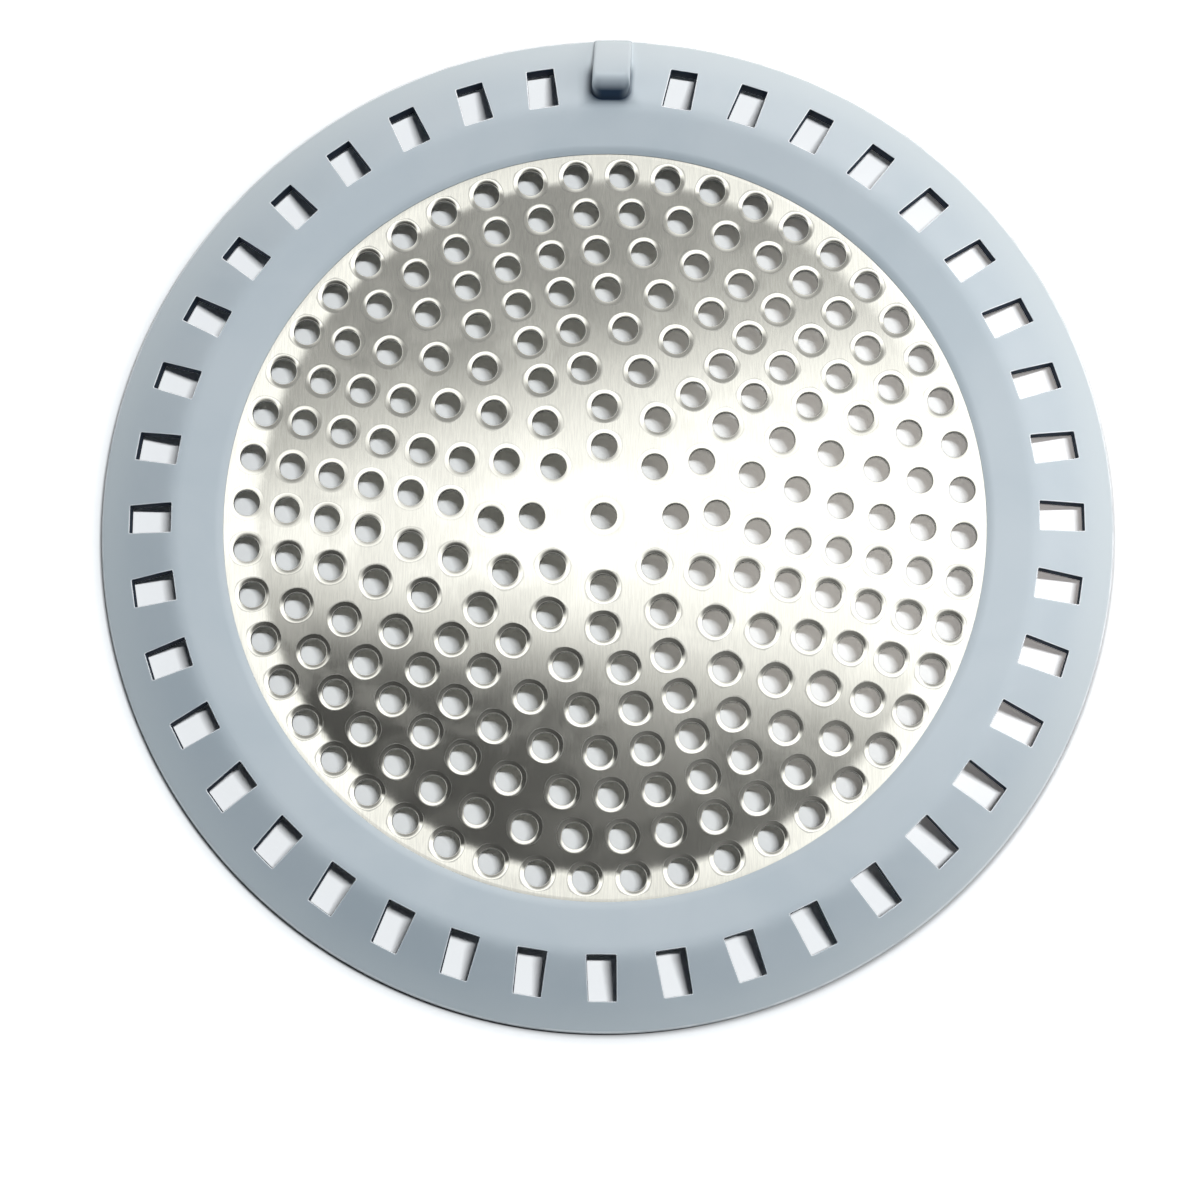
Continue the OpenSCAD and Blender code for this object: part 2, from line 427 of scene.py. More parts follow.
def settled(points):
    # The soft ring lies a little unevenly round the plate: a few waves turn its points about the axis,
    # and towards the rim they move off the centre
    x, y = points[..., 0], points[..., 1]
    a = np.arctan2(y, x)
    turn = sum(c * np.cos(k * a) + s * np.sin(k * a) for k, c, s in ring["waves"]) / slotOut
    share = smooth(np.hypot(x, y), windowR + ring["grooveDeep"], ring["outerR"])
    x, y = x * np.cos(turn) - y * np.sin(turn), x * np.sin(turn) + y * np.cos(turn)
    offX, offY = ring["offCentre"]
    return np.stack([x + share * offX, y + share * offY, points[..., 2]], -1)


def tabShades(half, rimCount):
    # Painted shadow at the tab's foot, most on its left and under its nose: a mask for each half
    g, t = ring, tab
    column, rowAt = np.arange(half.shape[1]), np.arange(len(half))[:, None]
    nose = smooth(column, len(column) - g["columns"], len(column) - t["noseEnd"])
    inward = smooth(column, rimCount - 1, rimCount + t["sideStart"])
    underNose = np.interp(rowAt, *t["noseShade"]) * nose
    return [np.interp(rowAt, *side) * (1 - nose) * inward + underNose for side in t["sideShades"]]


def siliconeRing():
    # The section is carried round as paths for the band, the rim and the foot, with copies of the slot's
    # cell between them. The tab's two halves fill the last cell, with plain silicone under them
    g = ring
    corners = roundedPath(ringCorners(), g["arcSteps"], g["support"])
    crest = corners[3][corners[3][:, 0] < cellIn - g["clear"]]
    bandPath = np.concatenate(
        [[(cellIn, underZ(cellIn))]] + corners[8:] + corners[:3] + [crest, [(cellIn, topZ(cellIn))]]
    )
    rimPath = np.concatenate([[(cellOut, topZ(cellOut))], corners[4], corners[5][:1]])
    wallPath = np.concatenate([rimPath, corners[5][1:2]])
    footPath = np.concatenate([corners[5][1:], corners[6], [(cellOut, underZ(cellOut))]])
    around = np.pi / 2 + cellTurn / 2 + np.arange(g["places"] * g["columns"]) * cellTurn / g["columns"]
    pastTab = around[: (g["places"] - 1) * g["columns"] + 1]
    patches, edges, shades = [], [], []

    def add(points, faces, edge=0, shade=0):
        # A patch with its masks: edge for painted highlight, shade for painted shade
        flat = np.zeros(points.shape[:-1])
        patches.append((settled(points.reshape(-1, 3)), faces))
        edges.append((flat + edge).reshape(-1))
        shades.append((flat + shade).reshape(-1))

    def rowMask(rows, table):
        return np.interp(np.arange(len(rows)), *table)[:, None]

    add(turned(bandPath, around), gridFaces(len(bandPath), len(around), closed=True))
    rimFaces = gridFaces(len(wallPath), len(pastTab))
    # Painted highlight on the rim's round and each slot's brink; painted shade on each slot's wall
    add(turned(wallPath, pastTab), rimFaces, edge=rowMask(wallPath, g["rimHighlight"]))
    add(turned(footPath, around), gridFaces(len(footPath), len(around), closed=True))
    cell = slotCell()
    cells = turnedCopies(cell, np.pi / 2 + cellTurn * np.arange(1, g["places"]))
    cellFaces = gridFaces(*cell.shape[:2], copies=len(cells), closed=True)
    add(cells, cellFaces, edge=rowMask(cell, g["brinkHighlight"]), shade=rowMask(cell, g["wallShade"]))
    half = tabHalf(rimPath[::-1])
    mirrored = half * [-1, 1, 1]
    # Painted shadow at the tab's foot, a mask for each half
    for side, shade in zip((half, mirrored), tabShades(half, len(rimPath))):
        add(side, gridFaces(*half.shape[:2]), shade=shade)
    underR = np.linspace(cellIn, cellOut, g["rungs"] + 1)
    underPath = np.stack([underR, underZ(underR)], -1)
    underTab = np.pi / 2 + np.linspace(-0.5, 0.5, g["columns"] + 1) * cellTurn
    add(turned(underPath, underTab), gridFaces(len(underPath), len(underTab)))
    tabFoot = np.concatenate([mirrored[:, 0], half[-2::-1, 0]])[::-1]
    skirt = turned(corners[5][1:2], underTab)[0]
    skirtFaces = zipFaces(np.arctan2(tabFoot[:, 1], tabFoot[:, 0]), underTab, closed=False)
    add(np.concatenate([tabFoot, skirt]), skirtFaces)
    marks = {"edge": np.concatenate(edges), "shade": np.concatenate(shades)}
    piece = makePiece("ring_of_silicone", patches, marks=marks)
    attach(piece, "root")
    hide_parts("silicone_ring")
    return piece


# Steel plate, millimetres
plate = {
    "edgeR": plateBox[1].x / mm,
    "crownHigh": plateBox[1].z / mm,
    "high": 4.1,  # upper face in the groove
    "thick": 0.8,
    "margin": 3.8,
    "bend": 1.0,  # half width of the turn from the dome to the margin
    "windowBend": 0.4,
    "marginDip": 0.05,
    "lean": 0.014,  # slope of the margin's lean
    "leanTowards": math.radians(200),
    "edgeRound": 0.15,
    "gripFlat": 0.6,  # from the window out to the last row before the edge
    "holeR": 1.55,
    "lipWide": 0.5,
    "lipTilt": (math.radians(4), math.radians(10)),  # at the outer and inner end of a hole's lip
    "flatterLips": (4, 13, 0.75),  # place on Y, spread and greatest loss of tilt
    "lipRound": 0.09,
    "crease": 0.45,  # darkness of the painted shade line round a lip
    "backRound": 0.12,
    "backShade": 0.45,  # how dark the sheet's lower face is painted, as painted shade
    "firstRing": 8.45,
    "lastIn": 2.65,  # from the window in to the last ring of holes
    "seam": 0.15,  # half width of the seam between two rings of cells
    "side": 7,  # points along each side of a cell
    "startTurn": math.radians(225),  # a cell's corners start here, clockwise
    "cellShares": (0, 0.6, 0.8, 0.93),  # rows from a cell's border to the lip
    "lipSteps": 4,
    "roundSteps": 3,
    "backSteps": 2,
    "edgeSteps": 8,
    "samples": 4001,
    "uvSpan": 0.1,  # metres across the brushing map
}
# Places of the holes in one sixth of rings two to seven, as shares of sixty degrees
sectorShares = [
    [0.03, 0.5],
    [0.27, 0.63, 0.91],
    [0.14, 0.4, 0.66, 0.88],
    [0.05, 0.27, 0.49, 0.68, 0.865],
    [0.005, 0.175, 0.365, 0.53, 0.69, 0.85],
    [0.12, 0.27, 0.42, 0.56, 0.7, 0.84, 0.975],
]
sectors = 6
sector = 2 * np.pi / sectors
firstCount, lastCount, lastTurnShare = 8, 48, 0.082


def plateProfile():
    # Slope of the sheet against radius: a ball's slope on the dome, a slight upward tilt on the margin,
    # none in the groove. The heights are its running sum
    p = plate
    r = np.linspace(0, p["edgeR"], p["samples"])
    domeR = windowR - p["margin"]
    pastDome = smooth(r, domeR - p["bend"], domeR + p["bend"])
    dome = 1 - pastDome
    margin = pastDome * (1 - smooth(r, windowR - p["windowBend"], windowR + p["windowBend"]))
    step = r[1] - r[0]
    domeSlope = r * dome
    rise = p["crownHigh"] - p["high"] + p["marginDip"]
    slope = margin * p["marginDip"] / (margin.sum() * step) - domeSlope * rise / (domeSlope.sum() * step)
    z = p["crownHigh"] + np.cumsum(slope) * step
    return r, z - z[-1] + p["high"], slope


profileR, profileZ, profileSlope = plateProfile()


def sheetZ(plan):
    # The profile, with a margin that rises a little more on one side, which the dome follows
    p = plate
    r = np.linalg.norm(plan, axis=-1)
    fall = np.interp(r, [0, windowR - p["margin"], windowR], [0, p["margin"], 0])
    aside = plan[..., 0] * math.cos(p["leanTowards"]) + plan[..., 1] * math.sin(p["leanTowards"])
    return np.interp(r, profileR, profileZ) - p["lean"] * fall * aside / np.maximum(r, 1)


def sheetNormal(plan):
    # Square to the sheet's rise over a short step along each axis
    step = 0.05
    riseX, riseY = [(sheetZ(plan + s) - sheetZ(plan - s)) / (2 * step) for s in step * np.eye(2)]
    return unitRows(np.stack([-riseX, -riseY, 1 + 0 * riseX], -1))


def holeProfile(strength):
    # From the sheet down into each hole, as distances out from the wall, drops and tilts: a shallow bevel
    # that steepens evenly, drop = width * (first tilt * s + (last tilt - first tilt) * s^2 / 2),
    # a tight round into the wall, the wall and a small round below
    p = plate
    firstTilt, lastTilt = p["lipTilt"][0] * strength, p["lipTilt"][1] * strength
    share = np.linspace(0, 1, p["lipSteps"] + 1)[:, None]
    tilt = firstTilt + (lastTilt - firstTilt) * share
    reach = p["lipWide"] * (1 - share) + 0 * strength
    drop = p["lipWide"] * (firstTilt * share + (lastTilt - firstTilt) * share**2 / 2)
    # The round starts where the bevel ends
    phi = np.linspace(lastTilt, np.pi / 2 + 0 * strength, p["roundSteps"] + 1)
    roundOut = p["lipRound"] * (1 - np.sin(phi))
    reach = roundOut[0] + reach * (1 - roundOut[0] / p["lipWide"])
    roundDrop = drop[-1] + p["lipRound"] * (np.cos(phi[0]) - np.cos(phi))
    backPhi = np.linspace(np.pi / 2, np.pi, p["backSteps"] + 1)[:, None] + 0 * strength
    backOut = p["backRound"] * (1 - np.sin(backPhi))
    backDrop = p["thick"] - p["backRound"] * (1 + np.cos(backPhi))
    out = np.concatenate([reach, roundOut[1:], backOut])
    down = np.concatenate([drop, roundDrop[1:], backDrop])
    return out, down, np.concatenate([tilt, phi[1:], backPhi])


def holeGrids(centre, turn, border):
    # One grid for each hole: from the cell's border over the sheet, down through the hole and out below.
    # The lips are flatter across the middle of the plate, by a bell curve on Y
    p = plate
    count = border.shape[1]
    spokes = turn[:, None] + p["startTurn"] - np.arange(count) * 2 * np.pi / count
    spoke = np.stack([np.cos(spokes), np.sin(spokes)], -1)
    inward = np.concatenate([-spoke, 0 * spoke[..., :1]], -1)
    middle, spread, loss = p["flatterLips"]
    strength = 1 - loss * np.exp(-(((centre[:, 1] - middle) / spread) ** 2))
    out, down, tilts = holeProfile(strength)
    points, normals, masks = [], [], []

    def add(plan, drop, normal, lip=0, paintedShade=0):
        points.append(np.concatenate([plan, (sheetZ(plan) - drop)[..., None]], -1))
        normals.append(normal)
        flat = np.zeros(plan.shape[:-1])
        masks.append(np.stack([flat + lip, flat + paintedShade], -1))

    brim = centre[:, None] + spoke * (p["holeR"] + out[0])[:, None, None]
    for share in p["cellShares"]:
        plan = border + (brim - border) * share
        # The last row before each lip takes a painted shade line
        crease = p["crease"] * strength[:, None] if share == p["cellShares"][-1] else 0
        add(plan, 0, sheetNormal(plan), 0, crease)
    for reach, drop, tilt in zip(out[:, :, None], down[:, :, None], tilts[:, :, None, None]):
        plan = centre[:, None] + spoke * (p["holeR"] + reach)[:, None]
        normal = unitRows(sheetNormal(plan) * np.cos(tilt) + inward * np.sin(tilt))
        # The wall stands square to the sheet and is painted dark as shade,
        # and the round below it goes over into the back, which is painted darker too
        wall = np.allclose(tilt, np.pi / 2)
        below = not wall and tilt.min() > np.pi / 2
        add(plan, drop, normal, not below, p["backShade"] if below else wall)
    add(border, p["thick"], -sheetNormal(border), 0, p["backShade"])
    return np.stack(points, 1), np.stack(normals, 1), np.stack(masks, 1)


def holeRings():
    # Radius and angles of each ring of holes round the centre one
    last = windowR - plate["lastIn"]
    radii = np.linspace(plate["firstRing"], last, len(sectorShares) + 2)
    angles = [np.arange(firstCount) * 2 * np.pi / firstCount]
    for shares in sectorShares:
        angles.append(((np.arange(sectors)[:, None] + np.array(shares)) * sector).reshape(-1))
    angles.append(lastTurnShare * sector + np.arange(lastCount) * 2 * np.pi / lastCount)
    return radii, angles


def circle(radius, at):
    return np.stack([radius * np.cos(at), radius * np.sin(at)], -1)


def cellBorders(radius, at, pitch):
    # The outlines of one ring's cells, each from its inner left corner round by its right side. Cells meet
    # halfway between holes and stop short of the next ring's. Also returns their inner and outer radius
    # and the angles of their points
    p = plate
    following = np.roll(at, -1) + 2 * np.pi * (np.arange(len(at)) == len(at) - 1)
    right = (at + following) / 2
    left = np.roll(right, 1) - 2 * np.pi * (np.arange(len(at)) == 0)
    innerR, outerR = radius - pitch / 2 + p["seam"], radius + pitch / 2 - p["seam"]
    t = np.arange(p["side"]) / p["side"]
    across = left[:, None] + (right - left)[:, None] * t
    back = right[:, None] + (left - right)[:, None] * t
    along = np.broadcast_to(innerR + (outerR - innerR) * t, across.shape)
    down = np.broadcast_to(outerR + (innerR - outerR) * t, across.shape)
    r = np.concatenate([0 * across + innerR, along, 0 * across + outerR, down], 1)
    a = np.concatenate([across, 0 * across + right[:, None], back, 0 * across + left[:, None]], 1)
    return circle(r, a), innerR, outerR, np.sort(across.reshape(-1) % (2 * np.pi))


def plateEdge(innerR, angles):
    # The margin and the edge in the groove, on the last ring's own columns: over the sheet, round the edge
    # and back below. The heights are those on +X all the way round, so the lean leaves a hairline gap
    # to the last cells
    p = plate
    e, steps = p["edgeRound"], p["edgeSteps"]
    phi = np.linspace(0, np.pi, steps + 1)
    lift = np.where(np.arange(steps + 1) > steps / 2, 2 * e - p["thick"], 0)
    over = np.array([innerR, windowR, windowR + p["gripFlat"]])
    overZ = sheetZ(circle(over, 0))
    edgeZ = p["high"] - e + np.cos(phi) * e + lift
    slope = np.interp(over, profileR, profileSlope)
    r = np.concatenate([over, p["edgeR"] - e + np.sin(phi) * e, over[::-1]])
    z = np.concatenate([overZ, edgeZ, overZ[::-1] - p["thick"]])
    away = np.concatenate([-slope, np.sin(phi), slope[::-1]])
    up = np.concatenate([1 + 0 * over, np.cos(phi), 0 * over - 1])
    points = turned(np.stack([r, z], -1), angles)
    normal = turned(unitRows(np.stack([away, up], -1)), angles)
    # The lower face takes the back's painted shade
    dull = p["backShade"] * (up < 0)[:, None] + 0 * angles
    return points, normal, gridFaces(len(r), len(angles), closed=True), np.stack([0 * dull, dull], -1)


def strainerPlate():
    # The centre hole's cell, each ring of cells with the seam inside it, and the margin with the edge
    p = plate
    radii, angles = holeRings()
    pitch = radii[1] - radii[0]
    patches, normals, masks = [], [], []

    def add(points, normal, faces, mask):
        patches.append((points, faces))
        normals.append(normal.reshape(-1, 3))
        masks.append(mask.reshape(-1, 2))

    def addCells(centre, turn, border):
        points, normal, mask = holeGrids(centre, turn, border)
        add(points, normal, gridFaces(*points.shape[1:3], copies=len(centre), closed=True), mask)

    def addSeam(innerR, innerA, outerR, outerA):
        # A narrow band of triangles, above and below, between the cells of two rings
        plan = np.concatenate([circle(innerR, innerA), circle(outerR, outerA)])
        faces = zipFaces(innerA, outerA)
        # The lower band takes the back's painted shade
        for drop, sign, dull in ((0, 1, 0), (p["thick"], -1, p["backShade"])):
            points = np.concatenate([plan, (sheetZ(plan) - drop)[:, None]], -1)
            add(points, sign * sheetNormal(plan), faces, np.tile([0, dull], (len(plan), 1)))

    count = 4 * p["side"]
    around = p["startTurn"] - np.arange(count) * 2 * np.pi / count
    outerR, outerA = radii[0] - pitch / 2 - p["seam"], np.sort(around % (2 * np.pi))
    addCells(np.zeros((1, 2)), np.zeros(1), circle(outerR, around)[None])
    for radius, at in zip(radii, angles):
        border, innerR, nextR, nextA = cellBorders(radius, at, pitch)
        addCells(circle(radius, at), at, border)
        addSeam(outerR, outerA, innerR, nextA)
        outerR, outerA = nextR, nextA
    add(*plateEdge(outerR, outerA))
    lip, paintedShade = np.concatenate(masks).T
    marks = {"lip": lip.copy(), "paintedShade": paintedShade.copy()}
    piece = makePiece("plate_of_steel", patches, np.concatenate(normals), marks)
    # The brushing runs along the map of X and Y
    coordinates = np.zeros(len(piece.data.vertices) * 3)
    piece.data.vertices.foreach_get("co", coordinates)
    corner = np.zeros(len(piece.data.loops), int)
    piece.data.loops.foreach_get("vertex_index", corner)
    uv = piece.data.uv_layers.new(name="brushing")
    uv.data.foreach_set("uv", (coordinates.reshape(-1, 3)[corner, :2] / p["uvSpan"]).reshape(-1))
    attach(piece, "root")
    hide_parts("strainer_plate")
    return piece


ringPiece = siliconeRing()
platePiece = strainerPlate()


# Materials

def newMaterial(name):
    material = bpy.data.materials.new(name)
    material.use_nodes = True
    nodes, links = material.node_tree.nodes, material.node_tree.links
    nodes.clear()
    return material, nodes, links


def newGroup(name, inputs, outputs):
    # A shader node group with named sockets: inputs as (name, kind, value), outputs as (name, kind)
    group = bpy.data.node_groups.new(name, "ShaderNodeTree")
    for label, kind, value in inputs:
        socket = group.interface.new_socket(label, in_out="INPUT", socket_type="NodeSocket" + kind)
        if value is not None:
            socket.default_value = value
    for label, kind in outputs:
        group.interface.new_socket(label, in_out="OUTPUT", socket_type="NodeSocket" + kind)
    return group, group.nodes.new("NodeGroupInput"), group.nodes.new("NodeGroupOutput")


def placeGroup(nodes, group, values):
    node = nodes.new("ShaderNodeGroup")
    node.node_tree = group
    for label, value in values.items():
        node.inputs[label].default_value = value
    return node


def feed(links, socket, value):
    # A socket takes a link from another socket, or a plain value
    if hasattr(value, "is_linked"):
        links.new(value, socket)
    else:
        socket.default_value = value


def ramp(nodes, links, value, ends, tones):
    # A smooth step from one tone to the other between the two ends
    node = nodes.new("ShaderNodeMapRange")
    node.interpolation_type = "SMOOTHSTEP"
    links.new(value, node.inputs["Value"])
    node.inputs["From Min"].default_value, node.inputs["From Max"].default_value = ends
    for name, tone in zip(("To Min", "To Max"), tones):
        feed(links, node.inputs[name], tone)
    return node.outputs["Result"]


def calc(nodes, links, operation, *values):
    # One sum of plain numbers and sockets
    node = nodes.new("ShaderNodeMath")
    node.operation = operation
    for socket, value in zip(node.inputs, values):
        feed(links, socket, value)
    return node.outputs[0]


def between(nodes, links, factor, a, b):
    # A number between a and b
    node = nodes.new("ShaderNodeMix")
    for name, value in zip(("Factor", "A", "B"), (factor, a, b)):
        feed(links, node.inputs[name], value)
    return node.outputs["Result"]


def tint(nodes, links, factor, a, b):
    # A colour between a and b
    node = nodes.new("ShaderNodeMix")
    node.data_type = "RGBA"
    links.new(factor, node.inputs["Factor"])
    for socket, colour in zip([i for i in node.inputs if i.type == "RGBA"], (a, b)):
        feed(links, socket, (*colour, 1) if isinstance(colour, tuple) else colour)
    return [o for o in node.outputs if o.type == "RGBA"][0]


def lengthOf(nodes, links, vector):
    node = nodes.new("ShaderNodeVectorMath")
    node.operation = "LENGTH"
    links.new(vector, node.inputs[0])
    return node.outputs["Value"]


def noiseOf(nodes, links, vector, size, detail=2, distortion=0):
    # Noise with lumps about as large as the size says
    node = nodes.new("ShaderNodeTexNoise")
    node.inputs["Detail"].default_value, node.inputs["Distortion"].default_value = detail, distortion
    links.new(vector, node.inputs["Vector"])
    links.new(calc(nodes, links, "DIVIDE", 1.0, size), node.inputs["Scale"])
    return node.outputs["Fac"]


# Noise of the shared finishes and painted edges: its detail, and the levels between which a mask rises
finishes = {
    "grainDetail": 3,
    "grainEnds": (0.38, 0.62),
    "marksDetail": 4,
    "marksDistortion": 0.6,
    "middle": 0.5,
    "edgePaintEnds": (0.3, 0.6),
}


def grainGroup():
    # Fine grain, drawn out along one direction: the height is the grain itself, the mask its deepest lines
    group, start, end = newGroup(
        "grain",
        [("Vector", "Vector", None), ("Stretch", "Vector", (1, 1, 1)), ("Size", "Float", 0.0001)],
        [("Height", "Float"), ("Mask", "Float")],
    )
    nodes, links = group.nodes, group.links
    stretched = nodes.new("ShaderNodeVectorMath")
    stretched.operation = "DIVIDE"
    links.new(start.outputs["Vector"], stretched.inputs[0])
    links.new(start.outputs["Stretch"], stretched.inputs[1])
    noise = noiseOf(nodes, links, stretched.outputs[0], start.outputs["Size"], finishes["grainDetail"])
    links.new(noise, end.inputs["Height"])
    links.new(ramp(nodes, links, noise, finishes["grainEnds"], (0, 1)), end.inputs["Mask"])
    return group


def marksGroup():
    # Broad soft patches where the surface was handled or wiped
    group, start, end = newGroup(
        "handling marks",
        [("Vector", "Vector", None), ("Size", "Float", 0.01), ("Spread", "Float", 0.2)],
        [("Mask", "Float")],
    )
    nodes, links = group.nodes, group.links
    vector, size, spread = start.outputs["Vector"], start.outputs["Size"], start.outputs["Spread"]
    noise = noiseOf(nodes, links, vector, size, finishes["marksDetail"], finishes["marksDistortion"])
    level = calc(nodes, links, "DIVIDE", calc(nodes, links, "SUBTRACT", noise, finishes["middle"]), spread)
    links.new(ramp(nodes, links, level, (-0.5, 0.5), (0, 1)), end.inputs["Mask"])
    return group


def edgePaintGroup():
    # Painted light and shade along an edge, here and there: the mask of the edge, broken up by noise
    group, start, end = newGroup(
        "painted edge light and shade",
        [
            ("Vector", "Vector", None),
            ("Edge", "Float", 0.0),
            ("Size", "Float", 0.002),
            ("Least", "Float", 0.4),
        ],
        [("Mask", "Float")],
    )
    nodes, links = group.nodes, group.links
    noise = noiseOf(nodes, links, start.outputs["Vector"], start.outputs["Size"])
    patchy = ramp(nodes, links, noise, finishes["edgePaintEnds"], (start.outputs["Least"], 1))
    links.new(calc(nodes, links, "MULTIPLY", start.outputs["Edge"], patchy), end.inputs["Mask"])
    return group


def maskOf(nodes, name):
    # A mask that the mesh carries
    node = nodes.new("ShaderNodeAttribute")
    node.attribute_name = name
    return node.outputs["Fac"]


grain, marks, edgePaint = grainGroup(), marksGroup(), edgePaintGroup()

silicone = {
    "colour": (0.445, 0.51, 0.558),
    "pale": (0.48, 0.54, 0.585),
    # Painted highlight, on the rim's round and the slots' brinks
    "paintedHighlight": (0.86, 0.9, 0.93),
    "shaded": (0.012, 0.026, 0.05),  # painted shade on the slots' walls, painted shadow at the tab's foot
    "shadedRoughness": 0.85,
    # Painted glow towards the rim
    "thin": (0.52, 0.58, 0.615),
    "thinFrom": (0.0545, 0.0605),  # metres from the centre
    "roughness": (0.36, 0.48),
    "ior": 1.41,
    "grain": {"Size": 0.00013},
    "grainDeep": 0.000004,
    "marks": {"Size": 0.014, "Spread": 0.35},
    "edgePaintLook": {"Size": 0.003, "Least": 0.5},
}


def siliconeMaterial():
    g = silicone
    material, nodes, links = newMaterial("satin silicone")
    out = nodes.new("ShaderNodeOutputMaterial")
    shader = nodes.new("ShaderNodeBsdfPrincipled")
    shader.inputs["IOR"].default_value = g["ior"]
    place = nodes.new("ShaderNodeTexCoord").outputs["Object"]
    fineGrain = placeGroup(nodes, grain, g["grain"])
    patches = placeGroup(nodes, marks, g["marks"])
    edges = placeGroup(nodes, edgePaint, g["edgePaintLook"])
    for node in (fineGrain, patches, edges):
        links.new(place, node.inputs["Vector"])
    links.new(maskOf(nodes, "edge"), edges.inputs["Edge"])
    body = tint(nodes, links, patches.outputs["Mask"], g["colour"], g["pale"])
    # Painted glow: paler towards the rim, where light comes through the silicone as it thins out
    thin = ramp(nodes, links, lengthOf(nodes, links, place), g["thinFrom"], (0, 1))
    body = tint(nodes, links, thin, body, g["thin"])
    # Painted highlight along the rim's round and the slots' brinks
    body = tint(nodes, links, edges.outputs["Mask"], body, g["paintedHighlight"])
    # Painted shade: the slots' walls drawn near black, and painted shadow round the tab's foot
    shade = maskOf(nodes, "shade")
    links.new(tint(nodes, links, shade, body, g["shaded"]), shader.inputs["Base Color"])
    rough = ramp(nodes, links, patches.outputs["Mask"], (0, 1), g["roughness"])
    links.new(ramp(nodes, links, shade, (0, 1), (rough, g["shadedRoughness"])), shader.inputs["Roughness"])
    bump = nodes.new("ShaderNodeBump")
    bump.inputs["Distance"].default_value = g["grainDeep"]
    links.new(fineGrain.outputs["Height"], bump.inputs["Height"])
    links.new(bump.outputs[0], shader.inputs["Normal"])
    links.new(shader.outputs[0], out.inputs[0])
    return material


steel = {
    "colour": (0.75, 0.745, 0.68),
    "dull": (0.70, 0.695, 0.635),
    "paintedShade": (0.11, 0.11, 0.105),  # painted shade on the hole walls, lip lines and lower face
    "roughness": (0.13, 0.2),
    "lipRoughness": 0.1,
    "paintedShadeRoughness": 0.5,
    "lines": {"Size": 0.00013, "Stretch": (1, 16, 1)},
    "lineDeep": 0.0000006,
    "marks": {"Size": 0.009, "Spread": 0.3},
    "edgePaintLook": {"Size": 0.002, "Least": 0.75},
    "anisotropy": 0.5,
}


def steelMaterial():
    g = steel
    material, nodes, links = newMaterial("brushed steel")
    out = nodes.new("ShaderNodeOutputMaterial")
    shader = nodes.new("ShaderNodeBsdfPrincipled")
    shader.inputs["Metallic"].default_value = 1
    shader.inputs["Anisotropic"].default_value = g["anisotropy"]
    place = nodes.new("ShaderNodeTexCoord").outputs["Object"]
    lines = placeGroup(nodes, grain, g["lines"])
    patches = placeGroup(nodes, marks, g["marks"])
    edges = placeGroup(nodes, edgePaint, g["edgePaintLook"])
    for node in (lines, patches, edges):
        links.new(place, node.inputs["Vector"])
    lip, paintedShade = maskOf(nodes, "lip"), maskOf(nodes, "paintedShade")
    links.new(paintedShade, edges.inputs["Edge"])
    tangent = nodes.new("ShaderNodeTangent")
    tangent.direction_type = "UV_MAP"
    tangent.uv_map = "brushing"
    links.new(tangent.outputs[0], shader.inputs["Tangent"])
    # The lips round the holes have no brushing lines
    sheet = calc(nodes, links, "SUBTRACT", 1.0, lip)
    lined = calc(nodes, links, "MULTIPLY", lines.outputs["Mask"], sheet)
    body = tint(nodes, links, lined, g["colour"], g["dull"])
    # Painted shade on the hole walls, the line round each lip and the lower face, broken up by noise
    links.new(tint(nodes, links, edges.outputs["Mask"], body, g["paintedShade"]), shader.inputs["Base Color"])
    rough = ramp(nodes, links, patches.outputs["Mask"], (0, 1), g["roughness"])
    rough = ramp(nodes, links, lip, (0, 1), (rough, g["lipRoughness"]))
    rough = ramp(nodes, links, paintedShade, (0, 1), (rough, g["paintedShadeRoughness"]))
    links.new(rough, shader.inputs["Roughness"])
    bump = nodes.new("ShaderNodeBump")
    bump.inputs["Distance"].default_value = g["lineDeep"]
    links.new(calc(nodes, links, "MULTIPLY", lines.outputs["Height"], sheet), bump.inputs["Height"])
    links.new(bump.outputs[0], shader.inputs["Normal"])
    links.new(shader.outputs[0], out.inputs[0])
    return material


def dress(piece, material):
    piece.data.materials.clear()
    piece.data.materials.append(material)


dress(ringPiece, siliconeMaterial())
dress(platePiece, steelMaterial())
print("materials placed: satin silicone, brushed steel")


# Camera, at the photograph's viewing angle
view = {
    "azimuth": math.radians(5.257),
    "elevation": math.radians(78.249),
    "roll": math.radians(-5.017),
    "distance": 331.996,  # millimetres
    "focalPixels": 2772.9,
    "frame": 1200,  # pixels
    "originX": 604.65,
    "originY": 526.13,
    "sensor": 36,
    "clip": (0.01, 20),
}


def addCamera():
    # The camera stands back from the origin and turns until the origin falls on its place in the picture
    v = view
    a, e = v["azimuth"], v["elevation"]
    back = np.array([math.sin(a) * math.cos(e), -math.cos(a) * math.cos(e), math.sin(e)])
    right = unitRows(np.cross([0, 0, 1], back))
    up = np.cross(back, right)
    c, s = math.cos(v["roll"]), math.sin(v["roll"])
    right, up = c * right + s * up, c * up - s * right
    aimX = (v["frame"] / 2 - v["originX"]) / v["focalPixels"]
    aimY = (v["originY"] - v["frame"] / 2) / v["focalPixels"]
    ahead = unitRows(-back + aimX * right + aimY * up)
    right = unitRows(right - right @ ahead * ahead)
    up = np.cross(right, ahead)
    data = bpy.data.cameras.new("camera")
    data.sensor_width = v["sensor"]
    data.lens = v["focalPixels"] / v["frame"] * data.sensor_width
    data.clip_start, data.clip_end = v["clip"]
    camera = bpy.data.objects.new("camera", data)
    matrix = np.eye(4)
    matrix[:3, 0], matrix[:3, 1], matrix[:3, 2] = right, up, -ahead
    matrix[:3, 3] = back * v["distance"] * mm
    camera.matrix_world = Matrix(matrix.tolist())
    bpy.context.scene.collection.objects.link(camera)
    bpy.context.scene.camera = camera


addCamera()
print("camera placed")


